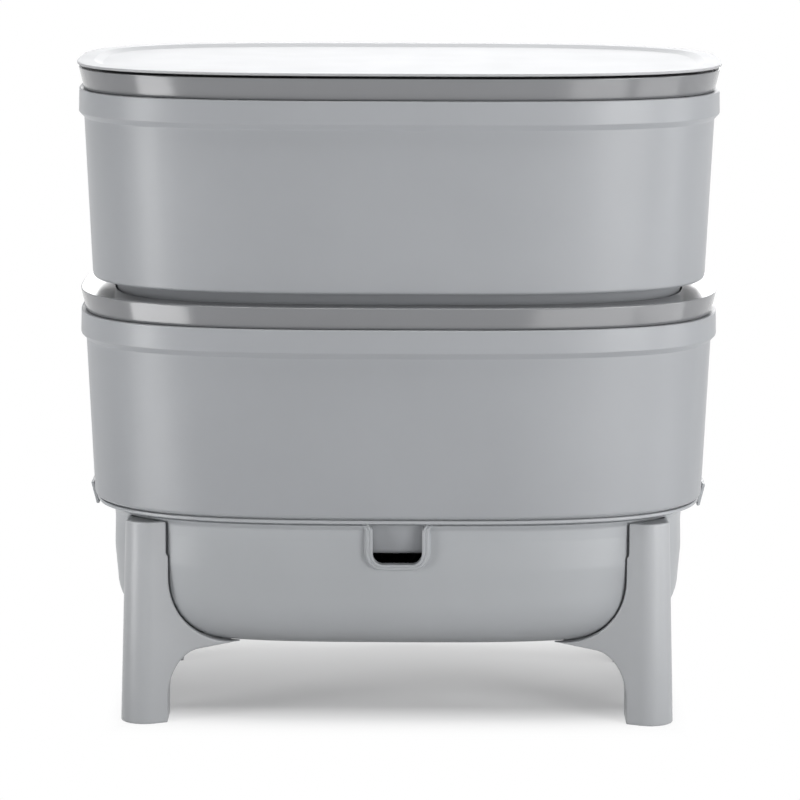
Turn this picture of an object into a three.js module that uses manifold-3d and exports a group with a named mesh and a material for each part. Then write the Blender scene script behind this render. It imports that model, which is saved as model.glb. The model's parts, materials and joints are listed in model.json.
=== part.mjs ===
// A two-tray wormery: a sump base on four legs, two stacking trays with perforated floors, a lid and a drain tap.
// Millimetres. X runs along the width, Y towards the back, Z up, and the floor is at Z 0.
import * as THREE from "three";
import { mergeVertices } from "three/addons/utils/BufferGeometryUtils.js";
import Module from "manifold-3d";

const wasm = await Module();
wasm.setup();

// Overall plan: every level is the same rounded oblong, drawn in by the same amount on all sides.
const lidWidth = 515;
const lidDepth = 330;
const outlinePower = 3.2;
const outlinePoints = 36;
const quarterArcSteps = 4;

// Fits between pieces
const seat = 0.3;
const slideClearance = 0.8;
const overrun = 20;

// Lid
const lidOverhang = 1;
const lidGap = 2;
const lidRimThickness = 2.1;
const lidEdgeRound = 0.7;
const lidRimWidth = 13.5;
const lidDishSlope = 6.5;
const lidWall = 2.2;
const lidSkirtWall = 2.4;
const lidSkirtDraft = 1.6;
const lidSkirtDrop = 9;

// Collar: a flared ring in the tray's rim, a flat ledge inwards from its top, and a well with a shelf at its foot
const collarHeight = 17;
const collarFlare = 4;
const collarWall = 2.4;
const collarRound = 0.8;
const collarTongueWall = 2;
const collarTongueDrop = 6;
const ledgeDrop = 0.8;
const ledgeClearance = 1.5;
const wellClearance = 3;
const shelfDrop = 6.6;
const shelfThickness = 2.4;
const shelfLap = 10;

// Tray: a tapering wall, a skirt that stands out below the rim, and a plinth that drops into the level below
const trayWall = 2.6;
const rimHeight = 150.7;
const rimLedge = 3.6;
const rimWidth = 6.3;
const rimRound = 1;
const skirtHeight = 18.4;
const skirtDraft = 0.5;
const skirtStep = 4.2;
const wallTaper = 5.6;
const wallFootRound = 3.3;
const plinthInset = 16.8;
const plinthDepth = 32.5;
const plinthWaistDrop = 10;
const plinthWaistDraft = 2.5;
const plinthDraft = 5;
const plinthCornerRound = 5;

// Drain and climbing holes in each tray floor
const holeRadius = 3;
const holeSides = 6;
const holePitchX = 42;
const holePitchY = 42;
const holeColumns = 9;
const holeRows = 5;

// Flange round the mouth of the bowl, with a bead outside and an upstand that carries the tray
const beadInset = 2.3;
const beadTopDrop = 1.6;
const beadHeight = 3.5;
const beadRound = 1.2;
const beadProud = 3.5;
const upstandWidth = 2.6;
const upstandHeight = 3.1;
const flangeEdgeInset = 4.5;
const flangeEdgeDrop = 5.6;
const flangeSlopeReach = 9;
const flangeSlopeDrop = 9.5;

// Sump bowl of the base
const bowlFloorHeight = 60;
const bowlDepth = 112.3;
const bowlWall = 2.8;
const bowlNeckInset = 0.5;
const bowlNeckDrop = 21.1;
const bowlSwell = 0.5;
const bowlBellyDrop = 44.1;
const bowlDraft = 2;
const bowlCornerReach = 49;
const bowlCornerHeight = 45;

// Pouring notch in the front of the base, with its raised rim
const notchHalfWidth = 19.4;
const notchTopDrop = 6.6;
const notchDepth = 31.7;
const notchCornerRadius = 8;
const notchRimWidth = 6.4;
const notchRimFootWidth = 4.9;
const notchRimProud = 4.5;
const notchFlare = 3.4;
const notchFlareHeight = 5;

// Lifting lugs at the two ends of the base
const lugLength = 40;
const lugHeight = 18;
const lugFootDrop = 14.1;
const lugFootProud = 2;
const lugFlare = 4.5;
const lugThickness = 2.6;
const lugWebHeight = 6.5;
const lugWebRise = 3.5;
const lugWebReach = 8.5;

// Legs: column places are measured inwards from the widest part of the bowl
const legTopDrop = 8.6;
const legFootWidth = 38;
const legTopWidth = 32.3;
const legFootInset = 29.1;
const legTopInset = 31;
const legNoseInset = 30;
const legLean = 6;
const legBackReach = 20;
const legPocketRadius = 12;
const legPocketDepth = 120;

// Web of each leg: it meets the bowl along a quarter ellipse and runs out to a tip under the bowl's floor
const webTipInset = 58;
const webTipDepthInset = 44;
const webBackDepth = 34;
const webJointReach = 53;
const webJointDrop = 55;
const webJointRise = 56.2;
const webTopRise = 76.2;
const webStep = 1.7;
const webRootInset = 15;
const webRootDrop = 3.3;
const webTipRise = 1.2;
const webArchReach = 22;
const webArchHeight = 33;

// Leg screws, driven outwards through the neck of the bowl, above the lower edge of the notch
const legScrewDrop = 23.1;
const legScrewRadius = 2.5;
const legScrewReach = 11;
const legScrewHeadRadius = 5.5;
const legScrewHeadThickness = 3;
const legScrewSeatDepth = 0.5;
const legScrewSides = 12;
const legScrewTurn = 38;

// Drain tap at the back of the bowl
const tapRise = 21.2;
const tapBossRadius = 15;
const tapBossInset = 4;
const tapBossThickness = 23.5;
const tapWasherRadius = 13.5;
const tapWasherThickness = 2;
const tapFlangeRadius = 13;
const tapFlangeThickness = 3.4;
const tapShankRadius = 8;
const tapShankBore = 4.5;
const tapNutRadius = 11.5;
const tapNutThickness = 5;
const tapNutSides = 6;
const tapBarrelRadius = 9;
const tapBarrelLength = 19;
const tapSpoutRadius = 7;
const tapSpoutBore = 4.5;
const tapSpoutDrop = 27;
const tapSpoutPlace = 10.5;
const tapPlugRadius = 5;
const tapPlugPort = 2.25;
const tapPlugDrop = 6;
const tapTowerRadius = 8;
const tapTowerHeight = 13;
const tapPlugRise = 3.5;
const tapHandleHubRadius = 8.5;
const tapHandleThickness = 6;
const tapHandleLength = 30;
const tapHandleWidth = 9;
const tapHandleGap = 0.5;
const tapRingThickness = 1.2;
const tapRingDrop = 3;
const tapRingGap = 0.1;
const tapSides = 20;

// Half-widths of every level, from the lid inwards
const planInset = (lidWidth - lidDepth) / 2;
const lidHalf = lidWidth / 2;
const collarTopHalf = lidHalf - lidOverhang;
const collarFootHalf = collarTopHalf - collarFlare;
const skirtTopHalf = collarFootHalf + rimLedge;
const skirtFootHalf = skirtTopHalf + skirtDraft;
const wallTopHalf = skirtFootHalf - skirtStep;
const wallFootHalf = wallTopHalf - wallTaper;
const plinthMouthHalf = wallFootHalf - plinthInset;
const plinthWaistHalf = plinthMouthHalf - plinthWaistDraft;
const plinthFootHalf = plinthWaistHalf - plinthDraft;
const ledgeInnerHalf = plinthWaistHalf + ledgeClearance;
const wellFootHalf = plinthFootHalf + wellClearance;
const shelfInnerHalf = plinthFootHalf - shelfLap;
const beadHalf = wallFootHalf - beadInset;
const upstandHalf = beadHalf - beadProud;
const flangeEdgeHalf = beadHalf - flangeEdgeInset;
const flangeFootHalf = flangeEdgeHalf - flangeSlopeReach;
const bowlNeckHalf = flangeFootHalf - bowlNeckInset;
const bowlBellyHalf = bowlNeckHalf + bowlSwell;
const bowlFloorHalf = bowlBellyHalf - bowlDraft - bowlCornerReach;
const bowlFrontDepth = bowlBellyHalf - planInset;
const lugFootHalf = beadHalf + lugFootProud;
const legFootCentre = bowlBellyHalf - legFootInset;
const legTopCentre = bowlBellyHalf - legTopInset;
const legNoseCentre = bowlFrontDepth - legNoseInset;

// Heights, from the floor upwards
const baseTop = bowlFloorHeight + bowlDepth;
const beadTop = baseTop - beadTopDrop;
const flangeEdgeHeight = baseTop - flangeEdgeDrop;
const flangeFootHeight = flangeEdgeHeight - flangeSlopeDrop;
const notchTop = baseTop - notchTopDrop;
const notchBottom = notchTop - notchDepth;
const legHeight = baseTop - legTopDrop;
const legScrewHeight = baseTop - legScrewDrop;
const legScrewSeatPlace = legScrewSeatDepth - bowlWall / 2;
const tapHeight = bowlFloorHeight + tapRise;
const tapBossFace = bowlFrontDepth - tapBossInset;
const skirtFootHeight = rimHeight - skirtHeight;
const collarFoot = rimHeight + seat;
const shelfTop = collarFoot - shelfDrop;
const collarTop = collarFoot + collarHeight;
const ledgeTop = collarTop - ledgeDrop;
const lowerTrayHeight = baseTop + seat;
const upperTrayHeight = lowerTrayHeight + shelfTop + seat + plinthDepth;

// Materials
const paint = (color, roughness) => new THREE.MeshStandardMaterial({ color, roughness, metalness: 0 });
const bodyGrey = () => paint(0xa9abae, 0.42);
const collarGrey = () => paint(0x96989c, 0.28);
const lidGrey = () => paint(0xb4b6b9, 0.4);
const baseGrey = () => paint(0xaaacaf, 0.4);
const tapBlack = () => paint(0x2b2c2e, 0.45);
const rubberBlack = () => paint(0x1a1a1b, 0.8);
const screwSteel = () => new THREE.MeshStandardMaterial({ color: 0xb8babd, roughness: 0.35, metalness: 1 });

// One point of the oblong outline: the outline narrows with the half-width by the same amount on all sides
function outlineShare(turn) {
  const power = 2 / outlinePower;
  const across = Math.cos(turn);
  const along = Math.sin(turn);
  return [Math.sign(across) * Math.abs(across) ** power, Math.sign(along) * Math.abs(along) ** power];
}

function planPoint(half, turn) {
  const [shareX, shareY] = outlineShare(turn);
  return [half * shareX, (half - planInset) * shareY];
}

// The direction that faces straight out of the outline at a turn
function planNormal(half, turn) {
  const [x, y] = planPoint(half, turn);
  const nx = (Math.abs(x) / half) ** (outlinePower - 1) / half;
  const ny = (Math.abs(y) / (half - planInset)) ** (outlinePower - 1) / (half - planInset);
  const size = Math.hypot(nx, ny);
  return [(Math.sign(x) * nx) / size, (Math.sign(y) * ny) / size];
}

// A body swept round the outline from a profile of [half-width, height] points.
// An open profile is closed by a flat floor at each end, and a looped one closes on itself.
function sweptBody(profile, looped) {
  const positions = [];
  const faces = [];
  for (const [half, height] of profile) {
    for (let i = 0; i < outlinePoints; i++) {
      const [x, y] = planPoint(half, (2 * Math.PI * i) / outlinePoints);
      positions.push(x, y, height);
    }
  }
  const last = profile.length - 1;
  const bands = looped ? profile.length : last;
  for (let k = 0; k < bands; k++) {
    const low = k * outlinePoints;
    const high = ((k + 1) % profile.length) * outlinePoints;
    for (let i = 0; i < outlinePoints; i++) {
      const next = (i + 1) % outlinePoints;
      faces.push(low + i, low + next, high + next, low + i, high + next, high + i);
    }
  }
  if (!looped) {
    const first = positions.length / 3;
    positions.push(0, 0, profile[0][1], 0, 0, profile[last][1]);
    for (let i = 0; i < outlinePoints; i++) {
      const next = (i + 1) % outlinePoints;
      faces.push(first, next, i);
      faces.push(first + 1, last * outlinePoints + i, last * outlinePoints + next);
    }
  }
  const geometry = new THREE.BufferGeometry();
  geometry.setAttribute("position", new THREE.Float32BufferAttribute(positions, 3));
  geometry.setIndex(faces);
  return solidOf(geometry);
}

// A closed geometry as a solid that can be cut and joined
function solidOf(geometry) {
  const plain = geometry.clone();
  plain.deleteAttribute("normal");
  plain.deleteAttribute("uv");
  const merged = mergeVertices(plain);
  return new wasm.Manifold(
    new wasm.Mesh({
      numProp: 3,
      vertProperties: merged.attributes.position.array,
      triVerts: new Uint32Array(merged.index.array),
    }),
  );
}

function geometryOf(solid) {
  const mesh = solid.getMesh();
  const geometry = new THREE.BufferGeometry();
  geometry.setAttribute("position", new THREE.BufferAttribute(mesh.vertProperties, 3));
  geometry.setIndex(new THREE.BufferAttribute(mesh.triVerts, 1));
  const faceted = geometry.toNonIndexed();
  faceted.computeVertexNormals();
  return faceted;
}

function named(name, solid, material) {
  const mesh = new THREE.Mesh(solid.isBufferGeometry ? solid : geometryOf(solid), material);
  mesh.name = name;
  return mesh;
}

// An outline in X and Z, extruded along Y from one place to another
function slab(points, fromY, toY) {
  const geometry = new THREE.ExtrudeGeometry(new THREE.Shape(points), { depth: toY - fromY, bevelEnabled: false });
  geometry.rotateX(Math.PI / 2);
  geometry.translate(0, toY, 0);
  return geometry;
}

// An outline in X and Y, extruded upwards from one height to another
function prism(points, fromZ, toZ) {
  const geometry = new THREE.ExtrudeGeometry(new THREE.Shape(points), { depth: toZ - fromZ, bevelEnabled: false });
  geometry.translate(0, 0, fromZ);
  return geometry;
}

function block(fromX, toX, fromY, toY, fromZ, toZ) {
  const geometry = new THREE.BoxGeometry(toX - fromX, toY - fromY, toZ - fromZ);
  geometry.translate((fromX + toX) / 2, (fromY + toY) / 2, (fromZ + toZ) / 2);
  return geometry;
}

// A round bar standing on a height, its axis along Z
function upright(radius, fromZ, toZ, sides) {
  const geometry = new THREE.CylinderGeometry(radius, radius, toZ - fromZ, sides);
  geometry.rotateX(Math.PI / 2);
  geometry.translate(0, 0, (fromZ + toZ) / 2);
  return geometry;
}

// A round bar whose axis runs along Y
function crossbar(radius, fromY, toY, sides) {
  const geometry = new THREE.CylinderGeometry(radius, radius, toY - fromY, sides);
  geometry.translate(0, (fromY + toY) / 2, 0);
  return geometry;
}

// Points on an arc with its own reach and drop, from one angle to another
function arc(centreX, centreY, radiusX, radiusY, from, to, steps) {
  const points = [];
  for (let i = 0; i <= steps; i++) {
    const angle = from + ((to - from) * i) / steps;
    points.push(new THREE.Vector2(centreX + radiusX * Math.cos(angle), centreY + radiusY * Math.sin(angle)));
  }
  return points;
}

const pairs = (points) => points.map((p) => [p.x, p.y]);

// Outside of the bowl up to the flange, grown by a clearance where another piece fits against it
function bowlOutside(growth) {
  const corner = arc(
    bowlFloorHalf,
    bowlFloorHeight + bowlCornerHeight,
    bowlCornerReach + growth,
    bowlCornerHeight + growth,
    -Math.PI / 2,
    0,
    quarterArcSteps + 1,
  );
  return [
    ...pairs(corner),
    [bowlBellyHalf + growth, baseTop - bowlBellyDrop],
    [bowlNeckHalf + growth, baseTop - bowlNeckDrop],
    [flangeFootHalf + growth, flangeFootHeight - growth],
    [flangeEdgeHalf + growth, flangeEdgeHeight - growth],
  ];
}

// Inside of the bowl, from its floor to the top of the upstand
function bowlInside() {
  const corner = arc(
    bowlFloorHalf,
    bowlFloorHeight + bowlCornerHeight,
    bowlCornerReach - bowlWall,
    bowlCornerHeight - bowlWall,
    -Math.PI / 2,
    0,
    quarterArcSteps + 1,
  );
  const upstandInner = upstandHalf - upstandWidth;
  return [
    ...pairs(corner),
    [bowlBellyHalf - bowlWall, baseTop - bowlBellyDrop],
    [bowlNeckHalf - bowlWall, baseTop - bowlNeckDrop],
    [flangeFootHalf - bowlWall, flangeFootHeight],
    [upstandInner, baseTop - upstandHeight],
    [upstandInner, baseTop],
  ];
}

// The notch's outline, drawn round the pouring opening at a distance from its edge
function notchOutline(side, foot, top, flare) {
  const half = notchHalfWidth + side;
  const radius = notchCornerRadius + side;
  const bottom = notchBottom - foot;
  const right = arc(half - radius, bottom + radius, radius, radius, -Math.PI / 2, 0, quarterArcSteps);
  const left = arc(radius - half, bottom + radius, radius, radius, Math.PI, (3 * Math.PI) / 2, quarterArcSteps);
  const flareRight = [
    new THREE.Vector2(half, top - notchFlareHeight),
    new THREE.Vector2(half + flare, top),
  ];
  const flareLeft = flareRight.map((p) => new THREE.Vector2(-p.x, p.y)).reverse();
  return [...left, ...right, ...flareRight, ...flareLeft];
}

// Base: one moulding of bowl, flange, notch, lugs and the boss of the tap
function makeBase() {
  const inside = bowlInside();
  let base = sweptBody(
    [
      ...bowlOutside(0),
      [beadHalf - beadRound, beadTop - beadHeight],
      [beadHalf, beadTop - beadHeight / 2],
      [beadHalf - beadRound, beadTop],
      [upstandHalf, beadTop],
      [upstandHalf, baseTop],
      ...[...inside].reverse(),
    ],
    false,
  );

  const face = -bowlFrontDepth;
  const rim = slab(
    notchOutline(notchRimWidth, notchRimFootWidth, notchTop, 0),
    face - notchRimProud,
    face + bowlWall,
  );
  base = base.add(solidOf(rim).subtract(sweptBody(inside, false)));
  const opening = slab(notchOutline(0, 0, notchTop, notchFlare), face - overrun, face + overrun);
  base = base.subtract(solidOf(opening));

  const lugFoot = baseTop - lugFootDrop;
  const lugTopHalf = lugFootHalf + lugFlare;
  const webFoot = lugFoot + lugWebRise;
  for (const side of [-1, 1]) {
    const lug = slab(
      [
        new THREE.Vector2(side * (lugFootHalf - lugThickness), lugFoot),
        new THREE.Vector2(side * lugFootHalf, lugFoot),
        new THREE.Vector2(side * lugTopHalf, lugFoot + lugHeight),
        new THREE.Vector2(side * (lugTopHalf - lugThickness), lugFoot + lugHeight),
      ],
      -lugLength / 2,
      lugLength / 2,
    );
    const [nearX, farX] = [side * (lugFootHalf - lugWebReach), side * lugFootHalf].sort((a, b) => a - b);
    const web = block(nearX, farX, -lugLength / 2, lugLength / 2, webFoot, webFoot + lugWebHeight);
    base = base.add(solidOf(lug)).add(solidOf(web));
  }

  const boss = crossbar(tapBossRadius, tapBossFace - tapBossThickness, tapBossFace, tapSides);
  boss.translate(0, 0, tapHeight);
  const holeFoot = tapBossFace - tapBossThickness - overrun;
  const tapHole = crossbar(tapShankRadius + seat, holeFoot, tapBossFace + overrun, tapSides);
  tapHole.translate(0, 0, tapHeight);
  base = base.add(solidOf(boss)).subtract(solidOf(tapHole));

  for (const placed of legScrewPlaces()) {
    const hole = crossbar(legScrewRadius + seat, -overrun, overrun, legScrewSides);
    const headSeat = crossbar(legScrewHeadRadius + seat, -overrun, legScrewSeatPlace, legScrewSides);
    for (const cut of [hole, headSeat]) {
      cut.rotateZ(placed.angle);
      cut.translate(placed.x, placed.y, legScrewHeight);
      base = base.subtract(solidOf(cut));
    }
  }
  return base;
}

// Where the four leg screws cross the bowl's wall, and how far each is turned from the Y axis
function legScrewPlaces() {
  const places = [];
  const turn = (legScrewTurn * Math.PI) / 180;
  for (const at of [-turn, turn - Math.PI, Math.PI - turn, turn]) {
    const [x, y] = planPoint(bowlNeckHalf - bowlWall / 2, at);
    const [nx, ny] = planNormal(bowlNeckHalf, at);
    places.push({ x, y, angle: Math.atan2(-nx, ny) });
  }
  return places;
}

// Faces of the plinth from its floor up to its mouth, drawn in by the wall for the inside
function plinthFaces(wall) {
  const radius = plinthCornerRound - wall;
  const corner = arc(
    plinthFootHalf - plinthCornerRound,
    plinthCornerRound - plinthDepth,
    radius,
    radius,
    -Math.PI / 2,
    0,
    quarterArcSteps,
  );
  return [
    ...pairs(corner),
    [plinthWaistHalf - wall, wall / 2 - plinthWaistDrop],
    [plinthMouthHalf - wall, wall],
  ];
}

// Tray: wall, skirt and plinth in one moulding, with holes through its flat floor
function makeTray() {
  const profile = [
    ...plinthFaces(0),
    [wallFootHalf - wallFootRound, 0],
    [wallFootHalf - wallFootRound / 3, wallFootRound / 3],
    [wallFootHalf, wallFootRound],
    [wallTopHalf, skirtFootHeight - skirtStep],
    [skirtFootHalf, skirtFootHeight],
    [skirtTopHalf, rimHeight - rimRound],
    [skirtTopHalf - rimRound, rimHeight],
    [skirtTopHalf - rimWidth, rimHeight],
    [wallTopHalf - trayWall, skirtFootHeight - skirtStep],
    [wallFootHalf - trayWall, wallFootRound + trayWall],
    [wallFootHalf - trayWall - wallFootRound, trayWall],
    ...plinthFaces(trayWall).reverse(),
  ];
  let tray = sweptBody(profile, false);

  for (let column = 0; column < holeColumns; column++) {
    for (let row = 0; row < holeRows; row++) {
      const x = (column - (holeColumns - 1) / 2) * holePitchX;
      const y = (row - (holeRows - 1) / 2) * holePitchY;
      const hole = upright(holeRadius, -plinthDepth - overrun, 0, holeSides);
      hole.translate(x, y, 0);
      tray = tray.subtract(solidOf(hole));
    }
  }
  return tray;
}

// Collar: flared ring with a tongue inside the tray's rim, a ledge round the next plinth, and the well below it
function makeCollar() {
  const tongueOuter = skirtTopHalf - rimWidth - seat;
  const tongueInner = tongueOuter - collarTongueWall;
  const tongueFoot = collarFoot - collarTongueDrop;
  const ledgeUnder = ledgeTop - collarWall;
  return sweptBody(
    [
      [collarFootHalf, collarFoot],
      [collarTopHalf, collarTop - collarRound],
      [collarTopHalf - collarRound, collarTop],
      [collarTopHalf - collarWall, collarTop],
      [collarTopHalf - collarWall - ledgeDrop, ledgeTop],
      [ledgeInnerHalf + collarRound, ledgeTop],
      [ledgeInnerHalf, ledgeTop - collarRound],
      [wellFootHalf, shelfTop],
      [shelfInnerHalf, shelfTop],
      [shelfInnerHalf, shelfTop - shelfThickness],
      [wellFootHalf + collarWall, shelfTop - shelfThickness],
      [ledgeInnerHalf + collarWall, ledgeUnder],
      [collarTopHalf - collarWall - ledgeDrop, ledgeUnder],
      [collarFootHalf - collarWall, collarFoot + collarWall],
      [tongueInner, collarFoot],
      [tongueInner, tongueFoot],
      [tongueOuter, tongueFoot],
      [tongueOuter, collarFoot],
    ],
    true,
  );
}

// Lid: a rim that overhangs the collar, a panel that lies on the collar's ledge, and a skirt inside the well
function makeLid() {
  const under = collarTop + lidGap;
  const top = under + lidRimThickness;
  const dishHalf = lidHalf - lidRimWidth;
  const panelHalf = dishHalf - lidDishSlope;
  const panelUnder = ledgeTop + seat;
  const panelTop = panelUnder + lidWall;
  const skirtOuter = ledgeInnerHalf - slideClearance;
  const skirtInner = skirtOuter - lidSkirtWall;
  const skirtFoot = ledgeTop - lidSkirtDrop;
  return sweptBody(
    [
      [skirtInner, panelUnder],
      [skirtInner - lidSkirtDraft, skirtFoot],
      [skirtOuter - lidSkirtDraft, skirtFoot],
      [skirtOuter, panelUnder],
      [panelHalf, panelUnder],
      [dishHalf, under],
      [lidHalf - lidEdgeRound, under],
      [lidHalf, under + lidEdgeRound],
      [lidHalf, top - lidEdgeRound],
      [lidHalf - lidEdgeRound, top],
      [dishHalf, top],
      [panelHalf, panelTop],
    ],
    false,
  );
}

// Right-hand front leg: a rounded column with a web that sweeps back to the bowl and runs on under its corner
function makeLeg() {
  const footHalf = legFootWidth / 2;
  const topHalf = legTopWidth / 2;
  const innerFoot = legFootCentre - footHalf;
  const outerFoot = legFootCentre + footHalf;
  const innerTop = legTopCentre - topHalf;
  const backDepth = legNoseCentre - legBackReach;
  const jointCentre = innerTop - webStep - webJointReach;
  const webTop = bowlFloorHeight + webTopRise;
  const webRoot = bowlFloorHeight - webRootDrop;
  const tip = new THREE.Vector2(bowlFloorHalf - webTipInset, -bowlFrontDepth + webTipDepthInset);
  const joint = arc(
    jointCentre,
    bowlFloorHeight + webJointRise,
    webJointReach,
    webJointDrop,
    0,
    -Math.PI / 2,
    2 * quarterArcSteps,
  );
  const arch = arc(
    innerFoot - webArchReach,
    webRoot - webArchHeight,
    webArchReach,
    webArchHeight,
    Math.PI / 2,
    0,
    quarterArcSteps,
  ).filter((p) => p.x > bowlFloorHalf - webRootInset);
  const front = [
    new THREE.Vector2(outerFoot, 0),
    new THREE.Vector2(legTopCentre + topHalf, legHeight),
    new THREE.Vector2(innerTop, legHeight),
    new THREE.Vector2(innerTop, webTop),
    new THREE.Vector2(innerTop - webStep, webTop - webStep),
    ...joint,
    new THREE.Vector2(tip.x, bowlFloorHeight + webTipRise),
    new THREE.Vector2(bowlFloorHalf - webRootInset, webRoot),
    ...arch,
    new THREE.Vector2(innerFoot, 0),
  ];
  const frontSolid = solidOf(slab(front, -legNoseCentre - footHalf - overrun, overrun - webBackDepth));

  const nose = arc(legFootCentre, -legNoseCentre, footHalf, footHalf, 0, -Math.PI, 4 * quarterArcSteps);
  const columnPlan = [
    ...nose,
    new THREE.Vector2(innerFoot, -backDepth),
    new THREE.Vector2(outerFoot, -backDepth),
  ];
  const webPlan = [
    tip,
    tangentTo(tip.x, tip.y, legFootCentre, -legNoseCentre, footHalf),
    new THREE.Vector2(legFootCentre, -legNoseCentre),
    new THREE.Vector2(legFootCentre, -backDepth),
    new THREE.Vector2(innerFoot, -backDepth),
    new THREE.Vector2(tip.x, tip.y + webBackDepth),
  ];
  const plan = solidOf(leant(prism(columnPlan, 0, legHeight))).add(solidOf(leant(prism(webPlan, 0, legHeight))));
  const bowlClearance = sweptBody(
    [...bowlOutside(seat), [flangeEdgeHalf + overrun, baseTop], [bowlFloorHalf, baseTop]],
    false,
  );
  const pocket = upright(legPocketRadius, -overrun, legPocketDepth, legScrewSides);
  pocket.translate(legFootCentre, -legNoseCentre, 0);
  const leg = frontSolid.intersect(plan).subtract(bowlClearance).subtract(solidOf(leant(pocket)));

  const placed = legScrewPlaces()[0];
  const hole = crossbar(legScrewRadius + seat, -legScrewReach - bowlWall - seat, 0, legScrewSides);
  hole.rotateZ(placed.angle + Math.PI);
  hole.translate(placed.x, placed.y, legScrewHeight);
  return leg.subtract(solidOf(hole));
}

// The touch point of the line from an outside point to the front of a circle
function tangentTo(px, py, cx, cy, radius) {
  const distance = Math.hypot(cx - px, cy - py);
  const towards = Math.atan2(cy - py, cx - px);
  const turn = towards - Math.asin(radius / distance);
  const length = Math.sqrt(distance ** 2 - radius ** 2);
  return new THREE.Vector2(px + length * Math.cos(turn), py + length * Math.sin(turn));
}

// Leans a standing piece back towards its top
function leant(geometry) {
  const position = geometry.getAttribute("position");
  for (let i = 0; i < position.count; i++) {
    position.setY(i, position.getY(i) + (legLean * position.getZ(i)) / legHeight);
  }
  return geometry;
}

// Mirrors a body across the middle of the width or of the depth
function mirrored(geometry, scaleX, scaleY) {
  const copy = geometry.clone();
  copy.scale(scaleX, scaleY, 1);
  const position = copy.getAttribute("position");
  if (scaleX * scaleY < 0) {
    for (let i = 0; i < position.count; i += 3) {
      const held = [position.getX(i), position.getY(i), position.getZ(i)];
      position.setXYZ(i, position.getX(i + 1), position.getY(i + 1), position.getZ(i + 1));
      position.setXYZ(i + 1, held[0], held[1], held[2]);
    }
  }
  copy.computeVertexNormals();
  return copy;
}

// A leg screw with its head inside the bowl and its shank along Y, ending in the leg
function makeLegScrew() {
  const headFoot = legScrewSeatPlace - seat;
  const headTop = headFoot - legScrewHeadThickness;
  const tip = bowlWall / 2 + legScrewReach;
  return new THREE.LatheGeometry(
    [
      new THREE.Vector2(0, headTop),
      new THREE.Vector2(legScrewHeadRadius - legScrewHeadThickness / 2, headTop),
      new THREE.Vector2(legScrewHeadRadius, headFoot - legScrewHeadThickness / 2),
      new THREE.Vector2(legScrewHeadRadius, headFoot),
      new THREE.Vector2(legScrewRadius, headFoot),
      new THREE.Vector2(legScrewRadius, tip - legScrewRadius),
      new THREE.Vector2(0, tip),
    ],
    legScrewSides,
  );
}

// The tap's pieces are drawn with Y running out of the bowl from the boss's face, and Z 0 on the shank's axis
const tapBodyFoot = tapWasherThickness + seat + seat;
const tapSpoutY = tapBodyFoot + tapFlangeThickness + tapSpoutPlace;

function makeTapBody() {
  const shankEnd = -tapBossThickness - tapNutThickness - seat - seat;
  const flangeEnd = tapBodyFoot + tapFlangeThickness;
  let body = solidOf(crossbar(tapShankRadius, shankEnd, tapBodyFoot + seat, tapSides));
  body = body.add(solidOf(crossbar(tapFlangeRadius, tapBodyFoot, flangeEnd, tapSides)));
  body = body.add(solidOf(crossbar(tapBarrelRadius, flangeEnd - seat, flangeEnd + tapBarrelLength, tapSides)));
  const tower = upright(tapTowerRadius, 0, tapTowerHeight, tapSides);
  const spout = upright(tapSpoutRadius, -tapSpoutDrop, 0, tapSides);
  const outlet = upright(tapSpoutBore, -tapSpoutDrop - overrun, 0, tapSides);
  const plugBore = upright(tapPlugRadius + seat, -tapPlugDrop - seat, tapTowerHeight + overrun, tapSides);
  for (const piece of [tower, spout, outlet, plugBore]) piece.translate(0, tapSpoutY, 0);
  const inlet = crossbar(tapShankBore, shankEnd - overrun, tapSpoutY, tapSides);
  body = body.add(solidOf(tower)).add(solidOf(spout));
  return body.subtract(solidOf(outlet)).subtract(solidOf(inlet)).subtract(solidOf(plugBore));
}

function ring(outer, inner, fromY, toY, sides) {
  const bar = solidOf(crossbar(outer, fromY, toY, sides));
  return bar.subtract(solidOf(crossbar(inner, fromY - overrun, toY + overrun, tapSides)));
}

// Plug: a turned spindle with a cross port, a groove for its ring, and the square that drives it
function makeTapPlug() {
  const grooveFoot = tapTowerHeight - tapRingDrop - tapRingThickness;
  let plug = solidOf(upright(tapPlugRadius, -tapPlugDrop, tapTowerHeight + tapPlugRise, tapSides));
  const groove = new THREE.LatheGeometry(
    [
      new THREE.Vector2(tapPlugRadius - tapRingThickness, grooveFoot),
      new THREE.Vector2(tapPlugRadius + overrun, grooveFoot),
      new THREE.Vector2(tapPlugRadius + overrun, grooveFoot + tapRingThickness),
      new THREE.Vector2(tapPlugRadius - tapRingThickness, grooveFoot + tapRingThickness),
      new THREE.Vector2(tapPlugRadius - tapRingThickness, grooveFoot),
    ],
    tapSides,
  );
  groove.rotateX(Math.PI / 2);
  plug = plug.subtract(solidOf(groove));
  const port = new THREE.CylinderGeometry(tapPlugPort, tapPlugPort, 2 * overrun, tapSides);
  port.rotateZ(Math.PI / 2);
  return plug.subtract(solidOf(port));
}

function makeTapHandle() {
  const foot = tapTowerHeight + tapHandleGap;
  const top = foot + tapHandleThickness;
  const half = tapHandleWidth / 2;
  const end = arc(tapHandleLength - half, 0, half, half, -Math.PI / 2, Math.PI / 2, 2 * quarterArcSteps);
  const lever = prism([new THREE.Vector2(0, -half), ...end, new THREE.Vector2(0, half)], foot, top);
  const hub = upright(tapHandleHubRadius, foot, top, tapSides);
  const socket = upright(tapPlugRadius + seat, foot - overrun, tapTowerHeight + tapPlugRise + seat, tapSides);
  return solidOf(lever).add(solidOf(hub)).subtract(solidOf(socket));
}

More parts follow.
